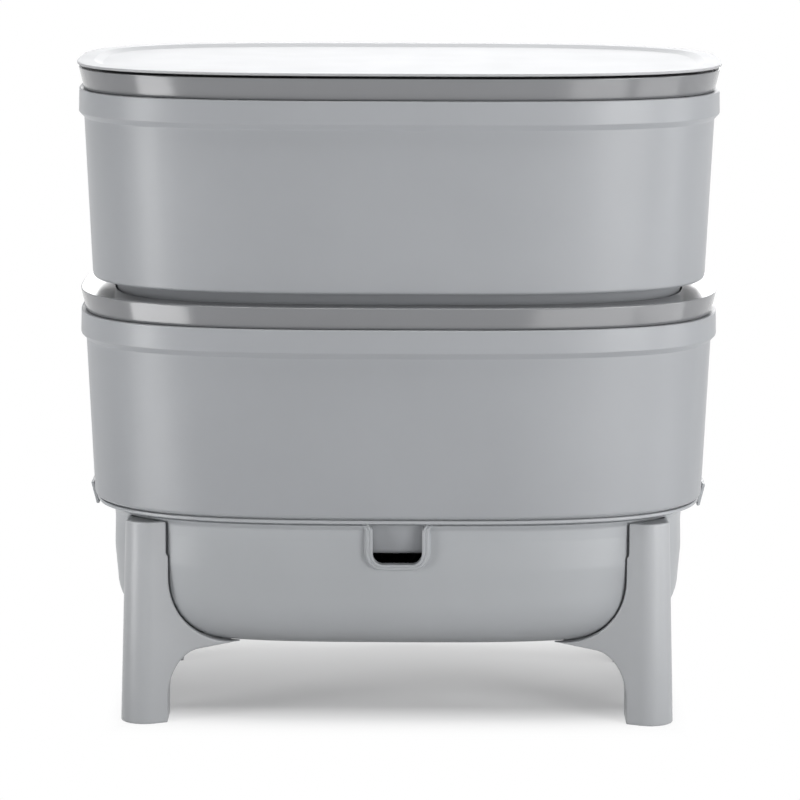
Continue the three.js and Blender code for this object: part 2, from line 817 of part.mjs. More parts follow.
function makeTapRing() {
  const top = tapTowerHeight - tapRingDrop - tapRingGap;
  const foot = top - tapRingThickness + tapRingGap + tapRingGap;
  const inner = tapPlugRadius - tapRingThickness + tapRingGap;
  const outer = tapPlugRadius + tapRingGap;
  const geometry = new THREE.LatheGeometry(
    [
      new THREE.Vector2(inner, foot),
      new THREE.Vector2(outer, foot),
      new THREE.Vector2(outer, top),
      new THREE.Vector2(inner, top),
      new THREE.Vector2(inner, foot),
    ],
    tapSides,
  );
  geometry.rotateX(Math.PI / 2);
  return solidOf(geometry);
}

// The assembly
const wormery = new THREE.Group();
wormery.add(named("base", makeBase(), baseGrey()));

const leg = geometryOf(makeLeg());
wormery.add(named("front_right_leg", leg, baseGrey()));
wormery.add(named("front_left_leg", mirrored(leg, -1, 1), baseGrey()));
wormery.add(named("rear_right_leg", mirrored(leg, 1, -1), baseGrey()));
wormery.add(named("rear_left_leg", mirrored(leg, -1, -1), baseGrey()));
const legScrewNames = ["front_right", "front_left", "rear_left", "rear_right"];
legScrewPlaces().forEach((placed, i) => {
  const screw = named(legScrewNames[i] + "_leg_screw", makeLegScrew(), screwSteel());
  screw.position.set(placed.x, placed.y, legScrewHeight);
  screw.rotation.z = placed.angle;
  wormery.add(screw);
});

const tap = new THREE.Group();
tap.position.set(0, tapBossFace, tapHeight);
tap.add(named("tap_body", makeTapBody(), tapBlack()));
const washer = ring(tapWasherRadius, tapShankRadius + seat, seat, seat + tapWasherThickness, tapSides);
tap.add(named("tap_washer", washer, rubberBlack()));
const nutTop = -tapBossThickness - seat;
const nut = ring(tapNutRadius, tapShankRadius + seat, nutTop - tapNutThickness, nutTop, tapNutSides);
tap.add(named("tap_nut", nut, tapBlack()));
const stem = new THREE.Group();
stem.position.set(0, tapSpoutY, 0);
stem.add(named("tap_plug", makeTapPlug(), tapBlack()));
stem.add(named("tap_plug_ring", makeTapRing(), rubberBlack()));
stem.add(named("tap_handle", makeTapHandle(), tapBlack()));
tap.add(stem);
wormery.add(tap);

const trayGeometry = geometryOf(makeTray());
const collarGeometry = geometryOf(makeCollar());
for (const [level, height] of [
  ["lower", lowerTrayHeight],
  ["upper", upperTrayHeight],
]) {
  const storey = new THREE.Group();
  storey.position.z = height;
  storey.add(named(level + "_tray", trayGeometry, bodyGrey()));
  storey.add(named(level + "_tray_collar", collarGeometry, collarGrey()));
  wormery.add(storey);
}

const lid = named("lid", makeLid(), lidGrey());
lid.position.z = upperTrayHeight;
wormery.add(lid);

export default wormery;
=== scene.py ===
import json
import math

import bmesh
import bpy
from mathutils import Matrix, Vector

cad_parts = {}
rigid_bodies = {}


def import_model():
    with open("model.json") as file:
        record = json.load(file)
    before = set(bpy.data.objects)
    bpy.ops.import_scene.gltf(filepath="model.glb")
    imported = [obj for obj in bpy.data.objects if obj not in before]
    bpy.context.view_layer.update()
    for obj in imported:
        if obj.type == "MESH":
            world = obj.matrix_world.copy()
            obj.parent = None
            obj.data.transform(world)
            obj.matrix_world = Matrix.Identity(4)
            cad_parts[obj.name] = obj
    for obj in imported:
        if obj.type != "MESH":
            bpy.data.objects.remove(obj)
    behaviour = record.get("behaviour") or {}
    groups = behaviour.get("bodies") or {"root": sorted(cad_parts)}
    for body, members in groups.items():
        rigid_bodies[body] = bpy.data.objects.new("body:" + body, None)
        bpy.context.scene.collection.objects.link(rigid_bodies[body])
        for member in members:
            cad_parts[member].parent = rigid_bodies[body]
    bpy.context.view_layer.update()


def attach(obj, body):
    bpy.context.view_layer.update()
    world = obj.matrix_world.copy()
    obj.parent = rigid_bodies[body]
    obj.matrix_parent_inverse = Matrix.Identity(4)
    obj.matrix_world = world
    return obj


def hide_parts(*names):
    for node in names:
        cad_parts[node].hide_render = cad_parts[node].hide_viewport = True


for leftover in list(bpy.data.objects):
    bpy.data.objects.remove(leftover)
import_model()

# Sump base. One injection moulding in cool grey polypropylene: a deep rounded oblong bowl whose flange
# carries the lower tray. It comes out of the mould with the pouring notch, the end lugs, the tap's boss
# and four shallow recesses that the legs are pressed into.
MM = 0.001
PLAN_POWER = 3.2
PLAN_INSET = 92.5
PLAN_STEPS = 240
BOWL_FLOOR = 60.0
BOWL_FLOOR_HALF = 180.0
BOWL_CORNER = (49.0, 45.0)
BOWL_WALL = 2.8
BOWL_HALF = 231.0
BOWL_HALF_HEIGHT = 128.2
BOWL_FRONT = 138.5
NECK_HALF = 230.5
NECK_HEIGHT = 151.2
FLANGE_FOOT = (236.5, 165.3)
MOUTH_HALF = 238.4
MOUTH_STEP = 170.4
RIM_HALF = 241.0
BEAD_HALF = 244.5
BEAD_LOW = 168.2
BEAD_HIGH = 171.2
BASE_TOP = 172.3
NOTCH_HALF = 19.4
NOTCH_TOP = 165.7
NOTCH_FOOT = 134.0
NOTCH_CORNER = 8.0
NOTCH_FLARE = 3.4
NOTCH_SEAT = 1.6
LUG_FOOT = (246.5, 158.2)
LUG_TIP = (250.9, 176.2)
LUG_WALL = 2.6
LUG_REACH = 20.0
TAP_HEIGHT = 81.2
TAP_FACE = 134.5
TAP_BORE = 8.3
SCREW_HEIGHT = 149.2
SCREW_TURN = math.radians(38)
SCREW_BORE = 2.8
LEG_SCREWS = (
    ("front_right", -SCREW_TURN),
    ("front_left", SCREW_TURN - math.pi),
    ("rear_left", math.pi - SCREW_TURN),
    ("rear_right", SCREW_TURN),
)
LEG_TOP = 162.8
LEG_SHOULDER = 213.0
LEG_HEAD_EDGE = (183.85, 136.4)
LEG_WEB_EDGE = (182.15, 134.3)
WEB_CENTRE = (129.15, 116.2)
WEB_REACH = (53.0, 55.0)
LEG_SLOT = 1.3
LEG_SLOT_WIDE = 2.0
RECESS_DEPTH = 2.0
RECESS_SPAN = (60.0, 160.0)


def plan_share(turn):
    """The share of the half-width and of the half-depth at a turn round the rounded oblong plan."""
    across, along = math.cos(turn), math.sin(turn)
    power = 2 / PLAN_POWER
    return math.copysign(abs(across) ** power, across), math.copysign(abs(along) ** power, along)


def plan_point(half, turn):
    """A point of the plan of that half-width; the half-depth is less by the same amount at every level."""
    share_x, share_y = plan_share(turn)
    return half * share_x, (half - PLAN_INSET) * share_y


def plan_facing(half, turn):
    """The level direction in which the plan's outline faces."""
    x, y = plan_point(half, turn)
    depth = half - PLAN_INSET
    power = PLAN_POWER - 1
    facing = Vector((abs(x / half) ** power / half, abs(y / depth) ** power / depth, 0)).normalized()
    return Vector((math.copysign(facing.x, x), math.copysign(facing.y, y), 0))


def eased(corners, looped=False):
    """Outline corners (x, y, radius), each drawn as an arc of its own radius."""
    least_angle, share_of_side, arc_step = 0.02, 0.48, math.radians(12)
    points = []
    last = len(corners) - 1
    for i, (x, y, radius) in enumerate(corners):
        if radius == 0 or (not looped and i in (0, last)):
            points.append((x, y))
            continue
        here = Vector((x, y))
        back = Vector(corners[i - 1][:2]) - here
        ahead = Vector(corners[(i + 1) % len(corners)][:2]) - here
        angle = max(back.angle(ahead), least_angle)
        reach = min(radius / math.tan(angle / 2), share_of_side * back.length, share_of_side * ahead.length)
        start, end = here + back.normalized() * reach, here + ahead.normalized() * reach
        steps = max(2, math.ceil((math.pi - angle) / arc_step))
        for k in range(steps + 1):
            t = k / steps
            point = start * (1 - t) ** 2 + here * (2 * t * (1 - t)) + end * t * t
            points.append((point.x, point.y))
    return points


def quarter(centre, reach, start, end, steps=14):
    """An arc of an ellipse between two angles in degrees."""
    turns = [math.radians(start + (end - start) * k / steps) for k in range(steps + 1)]
    return [(centre[0] + reach[0] * math.cos(t), centre[1] + reach[1] * math.sin(t)) for t in turns]


def rectangle(low, high):
    return [low, (high[0], low[1]), high, (low[0], high[1])]


def body_of_rings(name, rings, looped=False):
    """A body through rings of points in millimetres, capped at both ends or run back into its first ring."""
    count, n = len(rings), len(rings[0])
    faces = []
    for k in range(count if looped else count - 1):
        low, high = k * n, (k + 1) % count * n
        faces += [(low + i, low + (i + 1) % n, high + (i + 1) % n, high + i) for i in range(n)]
    if not looped:
        top = (count - 1) * n
        faces += [tuple(range(n - 1, -1, -1)), tuple(range(top, top + n))]
    mesh = bpy.data.meshes.new(name)
    mesh.from_pydata([(x * MM, y * MM, z * MM) for ring in rings for x, y, z in ring], [], faces)
    piece = bpy.data.objects.new(name, mesh)
    bpy.context.scene.collection.objects.link(piece)
    return piece


def outward(piece):
    """Closes a new body's seams and turns all its faces outward."""
    body = bmesh.new()
    body.from_mesh(piece.data)
    bmesh.ops.remove_doubles(body, verts=body.verts, dist=MM / 1000)
    bmesh.ops.recalc_face_normals(body, faces=body.faces)
    body.to_mesh(piece.data)
    body.free()
    return piece


def swept_level(name, profile, looped=False):
    """A wall swept round the oblong plan from a profile of (half-width, height)."""
    turns = [2 * math.pi * i / PLAN_STEPS for i in range(PLAN_STEPS)]
    rings = [[(*plan_point(half, turn), height) for turn in turns] for half, height in profile]
    return body_of_rings(name, rings, looped)


def slab(name, outline, start, end, axis="Y"):
    """An outline extruded along one axis: X and Z points along Y, or X and Y points along Z."""
    rings = [[(a, b, at) if axis == "Z" else (a, at, b) for a, b in outline] for at in (start, end)]
    return outward(body_of_rings(name, rings))


def turned(name, profile, looped=False, sides=64):
    """A round body about Z from a profile of (radius, height)."""
    turns = [2 * math.pi * i / sides for i in range(sides)]
    circle = [(math.cos(turn), math.sin(turn)) for turn in turns]
    rings = [[(radius * x, radius * y, height) for x, y in circle] for radius, height in profile]
    return outward(body_of_rings(name, rings, looped))


def placed(piece, move=(0, 0, 0), turn_z=0.0, tip_x=0.0, mirror=(1, 1, 1)):
    """Lays a piece in its place: tipped about X, turned about Z, moved in millimetres, then mirrored."""
    flip = Matrix.Diagonal((*mirror, 1))
    spot = Matrix.Translation(Vector(move) * MM)
    piece.data.transform(flip @ spot @ Matrix.Rotation(turn_z, 4, "Z") @ Matrix.Rotation(tip_x, 4, "X"))
    if mirror[0] * mirror[1] * mirror[2] < 0:
        piece.data.flip_normals()
    return piece


def along_tap(piece):
    """Lays a piece made about Z along the tap's level axis, which runs to the back from the boss's face."""
    return placed(piece, (0, TAP_FACE, TAP_HEIGHT), tip_x=-math.pi / 2)


def along_screw(piece, turn):
    """Lays a piece made about Z along a leg screw's axis, from the middle of the neck's wall."""
    x, y = plan_point(NECK_HALF - BOWL_WALL / 2, turn)
    facing = plan_facing(NECK_HALF, turn)
    return placed(piece, (x, y, SCREW_HEIGHT), math.atan2(-facing.x, facing.y), -math.pi / 2)


def settled(piece):
    """Turns a piece's modifiers into plain mesh."""
    ready = piece.evaluated_get(bpy.context.evaluated_depsgraph_get())
    mesh = bpy.data.meshes.new_from_object(ready)
    piece.modifiers.clear()
    old = piece.data
    piece.data = mesh
    bpy.data.meshes.remove(old)
    return piece


def carved(piece, cutters, way="DIFFERENCE"):
    """Cuts a piece with others, which are used up."""
    for cutter in cutters:
        cut = piece.modifiers.new("carve", "BOOLEAN")
        cut.object, cut.operation, cut.solver = cutter, way, "EXACT"
        settled(piece)
        bpy.data.objects.remove(cutter)
    return piece


def joined(name, parts):
    """Several bodies of one moulding as one piece."""
    whole = bmesh.new()
    for part in parts:
        whole.from_mesh(part.data)
    mesh = bpy.data.meshes.new(name)
    whole.to_mesh(mesh)
    whole.free()
    for part in parts:
        bpy.data.objects.remove(part)
    piece = bpy.data.objects.new(name, mesh)
    bpy.context.scene.collection.objects.link(piece)
    return piece


def softened(piece, width, above=35, segments=3):
    """Breaks the sharp edges of a carved piece, as the mould's radii do."""
    edge = piece.modifiers.new("mould radius", "BEVEL")
    edge.width, edge.segments, edge.limit_method = width * MM, segments, "ANGLE"
    edge.angle_limit = math.radians(above)
    return settled(piece)


def shown(piece, material, body, crease=33):
    """Shades a finished piece, gives it its material and hands it to its body."""
    piece.data.shade_smooth()
    piece.data.set_sharp_from_angle(angle=math.radians(crease))
    even = piece.modifiers.new("even shading", "WEIGHTED_NORMAL")
    even.keep_sharp = True
    piece.data.materials.clear()
    piece.data.materials.append(material)
    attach(piece, body)
    return piece


def fed(tree, kind, inputs, **settings):
    """A new node whose inputs hold plain values or are linked to other nodes' outputs; gives its outputs."""
    node = tree.nodes.new("ShaderNode" + kind)
    for name, value in settings.items():
        setattr(node, name, value)
    for key, value in inputs.items():
        if isinstance(value, bpy.types.NodeSocket):
            tree.links.new(value, node.inputs[key])
        else:
            node.inputs[key].default_value = value
    return node.outputs


def reckoned(tree, operation, *values):
    return fed(tree, "Math", dict(enumerate(values)), operation=operation)["Value"]


def blended(tree, share, first, second):
    """A colour between two others, by a share."""
    return fed(tree, "Mix", {"Factor": share, "A": first, "B": second}, data_type="RGBA")["Result"]


def ranged(tree, value, start, end, first=0.0, last=1.0, kind="LINEAR"):
    """A value that runs from first to last while another runs from start to end."""
    inputs = {"Value": value, "From Min": start, "From Max": end, "To Min": first, "To Max": last}
    return fed(tree, "MapRange", inputs, interpolation_type=kind)["Result"]


def grain_group():
    """Moulded grain: a fine spark-eroded texture, faint flow from the gate, and soft patches of tone."""
    group = bpy.data.node_groups.new("moulded grain", "ShaderNodeTree")
    size = group.interface.new_socket("Grain size", in_out="INPUT", socket_type="NodeSocketFloat")
    size.default_value = 1400.0
    for name in ("Height", "Patches", "Flow lines"):
        group.interface.new_socket(name, in_out="OUTPUT", socket_type="NodeSocketFloat")
    inside, outside = group.nodes.new("NodeGroupInput"), group.nodes.new("NodeGroupOutput")
    place = fed(group, "TexCoord", {})["Object"]
    stretch = fed(group, "Mapping", {"Vector": place, "Scale": (22.0, 22.0, 2.4)})["Vector"]
    for name, clouds in (
        ("Height", {"Vector": place, "Scale": inside.outputs["Grain size"], "Detail": 3.0, "Roughness": 0.6}),
        ("Patches", {"Vector": place, "Scale": 9.0, "Detail": 4.0, "Roughness": 0.55}),
        ("Flow lines", {"Vector": stretch, "Scale": 1.0, "Detail": 3.0}),
    ):
        group.links.new(fed(group, "TexNoise", clouds)["Fac"], outside.inputs[name])
    return group


def rub_and_sheen_group():
    """Handling marks: rubbed edges drawn lighter as a painted sheen, and a little dust on what faces up."""
    group = bpy.data.node_groups.new("edge rub and sheen", "ShaderNodeTree")
    for name in ("Rubbed edge and sheen", "Dust"):
        group.interface.new_socket(name, in_out="OUTPUT", socket_type="NodeSocketFloat")
    outside = group.nodes.new("NodeGroupOutput")
    form = fed(group, "NewGeometry", {})
    # The convex edges, which carry the wear and the painted sheen.
    edge = ranged(group, form["Pointiness"], 0.53, 0.61)
    break_up = fed(group, "TexNoise", {"Scale": 60.0, "Detail": 5.0})["Fac"]
    facing = fed(group, "SeparateXYZ", {"Vector": form["Normal"]})
    upward = ranged(group, facing["Z"], 0.6, 1.0)
    specks = fed(group, "TexNoise", {"Scale": 420.0, "Detail": 4.0})["Fac"]
    few = ranged(group, specks, 0.52, 0.72)
    group.links.new(reckoned(group, "MULTIPLY", edge, break_up), outside.inputs["Rubbed edge and sheen"])
    group.links.new(reckoned(group, "MULTIPLY", upward, few), outside.inputs["Dust"])
    return group


moulded_grain = grain_group()
edge_rub_and_sheen = rub_and_sheen_group()


def grained(name, grain_size):
    """A new material with the moulded grain in it: the material, its tree, its shader and the grain."""
    material = bpy.data.materials.new(name)
    material.use_nodes = True
    tree = material.node_tree
    grain = tree.nodes.new("ShaderNodeGroup")
    grain.node_tree = moulded_grain
    grain.inputs["Grain size"].default_value = grain_size
    return material, tree, tree.nodes["Principled BSDF"], grain.outputs


def moulded_plastic(name, colour, rough, grain_size, grain_depth, level=0.5, tone=0.06, rough_spread=0.07):
    """A moulded plastic: tone patches, rubbed edges with a painted sheen, a little dust, a grain of its own.
    """
    material, tree, shader, grain = grained(name, grain_size)
    rub_and_sheen = tree.nodes.new("ShaderNodeGroup")
    rub_and_sheen.node_tree = edge_rub_and_sheen
    dark = (*[c * (1 - tone) for c in colour], 1)
    light = (*[min(c * (1 + tone), 1.0) for c in colour], 1)
    # Rubbed edges are drawn lighter: real wear, with a painted sheen standing in for their polish.
    rubbed_edge_sheen_colour = (*[min(c * 1.28 + 0.01, 1.0) for c in colour], 1)
    base = blended(tree, grain["Patches"], dark, light)
    worn_and_sheen = blended(tree, rub_and_sheen.outputs["Rubbed edge and sheen"], base, rubbed_edge_sheen_colour)
    dust_share = reckoned(tree, "MULTIPLY", rub_and_sheen.outputs["Dust"], 0.10)
    dusty = blended(tree, dust_share, worn_and_sheen, (0.55, 0.54, 0.52, 1))
    gloss = ranged(tree, grain["Flow lines"], 0.3, 0.7, rough - rough_spread, rough + rough_spread)
    relief = fed(tree, "Bump", {"Height": grain["Height"], "Strength": 0.35, "Distance": grain_depth * MM})
    tree.links.new(dusty, shader.inputs["Base Color"])
    tree.links.new(gloss, shader.inputs["Roughness"])
    tree.links.new(relief["Normal"], shader.inputs["Normal"])
    shader.inputs["Specular IOR Level"].default_value = level
    return material


def bowl_wall(growth, top):
    """The bowl's profile, grown outwards from its outer face, from its floor up to the corners of a top."""
    centre = (BOWL_FLOOR_HALF, BOWL_FLOOR + BOWL_CORNER[1])
    corner = quarter(centre, (BOWL_CORNER[0] + growth, BOWL_CORNER[1] + growth), -90, 0)
    wall = [
        (*corner[-1], 0),
        (BOWL_HALF + growth, BOWL_HALF_HEIGHT, 40),
        (NECK_HALF + growth, NECK_HEIGHT, 30),
    ]
    return corner + eased(wall + top)[1:]


def bowl_outside(growth):
    return bowl_wall(
        growth,
        [
            (BOWL_HALF + growth, 160.6 - growth, 4),
            (FLANGE_FOOT[0] + growth, FLANGE_FOOT[1] - growth, 0.5),
        ],
    )


def bowl_inside():
    return bowl_wall(
        -BOWL_WALL,
        [
            (BOWL_HALF - BOWL_WALL, 157.2, 5),
            (229.0, 165.4, 1.5),
            (232.0, MOUTH_STEP, 1.5),
            (MOUTH_HALF, MOUTH_STEP, 0.5),
            (MOUTH_HALF, BASE_TOP, 0),
        ],
    )


def notch_outline(out, foot, top):
    """The notch seen from the front, drawn at a distance outside its edge."""
    half, radius, low = NOTCH_HALF + out, NOTCH_CORNER + out, NOTCH_FOOT - foot
    right = quarter((half - radius, low + radius), (radius, radius), -90, 0, 10)
    right += eased([(half, top - 12, 0), (half, top - 5, 5), (half + NOTCH_FLARE, top, 0)])
    return [(-x, z) for x, z in reversed(right)] + right


def leg_slot_outline(side):
    """The leg's front outline drawn out by the slot that shows beside it, wider along its straight top."""
    inner, high = LEG_HEAD_EDGE[0] - LEG_SLOT_WIDE, LEG_TOP + 0.9
    top = [(LEG_SHOULDER, high), (inner, high), (inner, LEG_HEAD_EDGE[1] - 1.0)]
    step = (LEG_WEB_EDGE[0] - LEG_SLOT, LEG_WEB_EDGE[1] - 0.7)
    curve = quarter(WEB_CENTRE, (WEB_REACH[0] - LEG_SLOT, WEB_REACH[1] - LEG_SLOT), 0, -62, 20)
    return [(side * x, z) for x, z in [*top, step, *curve, (LEG_SHOULDER, curve[-1][1])]]


bead_and_rim = eased(
    [
        (*FLANGE_FOOT, 0),
        (234.0, 166.2, 0.3),
        (234.2, BEAD_LOW, 0.3),
        (BEAD_HALF, BEAD_LOW, 1.2),
        (BEAD_HALF, BEAD_HIGH, 1.2),
        (RIM_HALF, BEAD_HIGH, 0.4),
        (RIM_HALF, BASE_TOP, 0.5),
        (MOUTH_HALF, BASE_TOP, 0),
    ]
)
bowl = swept_level("sump_base", bowl_outside(0) + bead_and_rim[1:] + list(reversed(bowl_inside()))[1:])
mouth_outline = notch_outline(NOTCH_SEAT, NOTCH_SEAT, NOTCH_TOP)
cutters = [
    slab("notch_mouth", mouth_outline, -BOWL_FRONT - 20, -BOWL_FRONT + 20),
    along_tap(turned("tap_hole", [(TAP_BORE, -45.0), (TAP_BORE, 20.0)])),
]
for side in (-1, 1):
    for face in (-1, 1):
        near, far = sorted(face * reach for reach in RECESS_SPAN)
        recess = slab("leg_recess", leg_slot_outline(side), near, far)
        kept = swept_level("recess_floor", bowl_outside(-RECESS_DEPTH) + [(238.0, 175.0)])
        cutters.append(carved(recess, [kept]))
for _, turn in LEG_SCREWS:
    screw_hole = turned("screw_hole", [(SCREW_BORE, -12.0), (SCREW_BORE, 12.0)], sides=32)
    cutters.append(along_screw(screw_hole, turn))
carved(bowl, cutters)

rim_section = eased(
    [
        (0.0, 7.4, 0),
        (0.0, 0.0, 0.9),
        (1.9, 0.0, 0.7),
        (2.7, 0.9, 0.8),
        (3.5, 0.2, 0.8),
        (5.3, 0.3, 1.5),
        (6.0, 3.4, 1.6),
        (7.0, 5.4, 0),
        (5.0, 7.4, 0),
    ]
)


def notch_rim():
    """The raised rim: its section carried round the notch, standing proud of the bowl."""
    front, top = -BOWL_FRONT - 4.5, NOTCH_TOP + 0.5
    rings = []
    for (x, z), (wide_x, wide_z) in zip(notch_outline(0, 0, top), notch_outline(1, 0.8, top)):
        rings.append([(x + (wide_x - x) * u, front + v, z + (wide_z - z) * u) for u, v in rim_section])
    return outward(body_of_rings("notch_rim", rings))


lug_section = eased(
    [
        (LUG_FOOT[0] - LUG_WALL, LUG_FOOT[1], 1.0),
        (*LUG_FOOT, 1.0),
        (*LUG_TIP, 1.0),
        (LUG_TIP[0] - LUG_WALL, LUG_TIP[1], 1.0),
    ],
    looped=True,
)
base_parts = [bowl, notch_rim()]
for side in (-1, 1):
    flap = slab("lug", [(side * x, z) for x, z in lug_section], -LUG_REACH, LUG_REACH)
    near, far = sorted((side * 239.0, side * 247.0))
    web = slab("lug_web", rectangle((near, 161.7), (far, BEAD_LOW)), -LUG_REACH, LUG_REACH)
    base_parts += [softened(flap, 1.2, 60), softened(web, 1.0, 60)]
boss = eased([(TAP_BORE, 0.0, 0), (15.0, 0.0, 1.2), (15.0, -23.5, 1.2), (TAP_BORE, -23.5, 0)])
base_parts.append(along_tap(turned("tap_boss", boss, looped=True, sides=96)))
base_grey = moulded_plastic("satin_grey_base", (0.372, 0.385, 0.40), 0.36, 1500, 0.02)
base_piece = joined("sump_base_moulding", base_parts)
shown(base_piece, base_grey, "base_unit")
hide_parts("base")

# Legs. Four separate hollow mouldings of the same grey plastic: a rounded column in front and a web that
# sweeps back until it lies flush with the bowl and runs out in a thin strap under the bowl's corner. Each is
# pressed into its recess and held by a screw from inside.
LEG_NOSE = 108.5
LEG_BACK = 88.5
LEG_FOOT = (201.9, 19.0)
LEG_HEAD = (200.0, 16.15)
LEG_LEAN = 6.0
LEG_ROUND = 3.2
LEG_GAP = 0.3
LEG_POCKET = 12.0
TIP = (122.0, -94.5)
ARCH_CENTRE = (156.9, 18.4)
ARCH_REACH = (26.0, 39.0)
BEYOND_LEG = 226.0
BELOW_FLOOR = -2.0
LEG_FRONT = (
    (BEYOND_LEG, BELOW_FLOOR),
    (BEYOND_LEG, LEG_TOP - LEG_ROUND),
    *quarter((LEG_SHOULDER, LEG_TOP - LEG_ROUND), (LEG_ROUND, LEG_ROUND), 0, 90, 8),
    (LEG_HEAD_EDGE[0], LEG_TOP),
    LEG_HEAD_EDGE,
    LEG_WEB_EDGE,
    *quarter(WEB_CENTRE, WEB_REACH, 0, -90, 24),
    (TIP[0], WEB_CENTRE[1] - WEB_REACH[1]),
    *quarter(ARCH_CENTRE, ARCH_REACH, 86, 0, 20),
    (ARCH_CENTRE[0] + ARCH_REACH[0], BELOW_FLOOR),
)


def leg_ring(share):
    """The leg seen from above at a share of its height: strap tip, line to the nose, nose, back."""
    centre = LEG_FOOT[0] + (LEG_HEAD[0] - LEG_FOOT[0]) * share
    radius = LEG_FOOT[1] + (LEG_HEAD[1] - LEG_FOOT[1]) * share
    nose_y = -LEG_NOSE - LEG_FOOT[1] + radius
    dx, dy = centre - TIP[0], nose_y - TIP[1]
    turn = math.atan2(dy, dx) - math.asin(radius / math.hypot(dx, dy))
    nose = quarter((centre, nose_y), (radius, radius), math.degrees(turn) - 90, 0, 48)
    back = [(centre + radius, -LEG_BACK), (centre - radius, -LEG_BACK), (TIP[0], TIP[1] + 34.0)]
    return [(x, y + LEG_LEAN * share) for x, y in [TIP, *nose, *back]]


def leant(piece):
    """Leans a piece back with the leg."""
    for point in piece.data.vertices:
        point.co.y += LEG_LEAN * point.co.z / LEG_TOP
    return piece


def leg_body(levels=12):
    """The whole leg as one tapering body, a little too tall, before its front outline is cut."""
    height = LEG_TOP * 1.02
    rings = [[(x, y, height * k / levels) for x, y in leg_ring(k / levels)] for k in range(levels + 1)]
    return outward(body_of_rings("leg", rings))


def twin(piece, mesh=None):
    """A second piece like a first one, made of a copy of its mesh or of another mesh."""
    second = piece.copy()
    second.data = mesh or piece.data.copy()
    bpy.context.scene.collection.objects.link(second)
    second.modifiers.clear()
    return second


def rounded_off(piece, voxel, passes):
    """Draws the piece anew in a fine even mesh laid on its faces, and eases its joins and edges."""
    faces = twin(piece)
    net = piece.modifiers.new("even net", "REMESH")
    net.mode, net.voxel_size = "VOXEL", voxel * MM
    lie = piece.modifiers.new("on the faces", "SHRINKWRAP")
    lie.target = faces
    ease = piece.modifiers.new("mould radius", "SMOOTH")
    ease.factor, ease.iterations = 0.5, passes
    settled(piece)
    bpy.data.objects.remove(faces)
    return piece


def make_leg():
    """The front right leg: cut to its front outline, let into the bowl and hollowed from below."""
    leg = carved(leg_body(), [slab("leg_front", LEG_FRONT, -150.0, -14.0)], "INTERSECT")
    bowl_space = swept_level("bowl_space", bowl_outside(LEG_GAP) + [(262.0, BASE_TOP), (180.0, BASE_TOP)])
    pocket = turned("pocket", [(LEG_POCKET, -20.0), (LEG_POCKET, 120.0)])
    pocket = leant(placed(pocket, (LEG_FOOT[0], -LEG_NOSE, 0)))
    carved(leg, [bowl_space, pocket])
    return rounded_off(outward(leg), voxel=0.8, passes=8)


leg_grey = moulded_plastic("satin_grey_leg", (0.39, 0.40, 0.414), 0.38, 1500, 0.012)
first_leg = make_leg()
for name, mirror in (
    ("front_right_leg", (1, 1, 1)),
    ("front_left_leg", (-1, 1, 1)),
    ("rear_right_leg", (1, -1, 1)),
    ("rear_left_leg", (-1, -1, 1)),
):
    piece = first_leg if name == "front_right_leg" else placed(twin(first_leg), mirror=mirror)
    piece.name = name + "_moulding"
    shown(piece, leg_grey, "base_unit", 70)
    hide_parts(name)

# Leg screws. Zinc-plated pan-head screws with a cross recess and a cutting thread, driven outwards through
# the bowl's neck into the top of each leg.
SCREW_SEAT = 0.5 - BOWL_WALL / 2
SCREW_CORE = 1.9
SCREW_CREST = 2.5
SCREW_PITCH = 1.4
CROSS = (0.55, 2.6)
ON_AXIS = 0.01


def steel():
    """Zinc-plated steel: faint patches of tone and of polish."""
    material, tree, shader, grain = grained("zinc_steel", 2600.0)
    shader.inputs["Metallic"].default_value = 1.0
    tone = blended(tree, grain["Patches"], (0.50, 0.50, 0.52, 1), (0.70, 0.70, 0.69, 1))
    polish = ranged(tree, grain["Height"], 0.0, 1.0, 0.22, 0.45)
    tree.links.new(tone, shader.inputs["Base Color"])
    tree.links.new(polish, shader.inputs["Roughness"])
    return material


def make_screw():
    """A screw made about Z with its head below and its thread above."""
    head = eased([(ON_AXIS, -3.0, 0), (4.3, -3.0, 1.4), (5.5, -1.2, 1.0), (5.5, 0.0, 0.3), (2.4, 0.0, 0)])
    thread = []
    for k in range(8):
        thread += [(SCREW_CORE, 0.6 + SCREW_PITCH * k), (SCREW_CREST, 1.2 + SCREW_PITCH * k)]
    end = [(SCREW_CORE, 11.9), (ON_AXIS, 12.6)]
    body = turned("screw", [*head, (2.4, 0.4), *thread, *end], sides=40)
    placed(body, (0, 0, SCREW_SEAT - 0.3))
    cross = []
    for x, y in (CROSS, CROSS[::-1]):
        cross.append(slab("cross", rectangle((-x, -y), (x, y)), -9.0, SCREW_SEAT - 2.0, "Z"))
    return carved(body, cross)


zinc = steel()
for name, turn in LEG_SCREWS:
    screw = along_screw(make_screw(), turn)
    screw.name = name + "_pan_screw"
    shown(screw, zinc, "base_unit", 40)
    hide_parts(name + "_leg_screw")

# Drain tap, fixed part. A black nylon body whose threaded shank passes through the boss, with a rubber washer
# outside and a thin hexagon nut inside; the spout points straight down behind the bowl.
SPOUT_Y = TAP_FACE + 16.5
TAP_CHANNEL = 4.5
SHANK_END = -29.0
SHANK_ROOT = 7.4
SHANK_CREST = 8.0
SHANK_PITCH = 1.5
PLUG_BORE = 5.3
TOWER_TOP = 13.0


def black(name, rough, grain_depth):
    return moulded_plastic(name, (0.022, 0.022, 0.024), rough, 1900, grain_depth, tone=0.15)


def on_spout(piece):
    """Stands a piece made about Z on the tap's upright axis."""
    return placed(piece, (0, SPOUT_Y, TAP_HEIGHT))


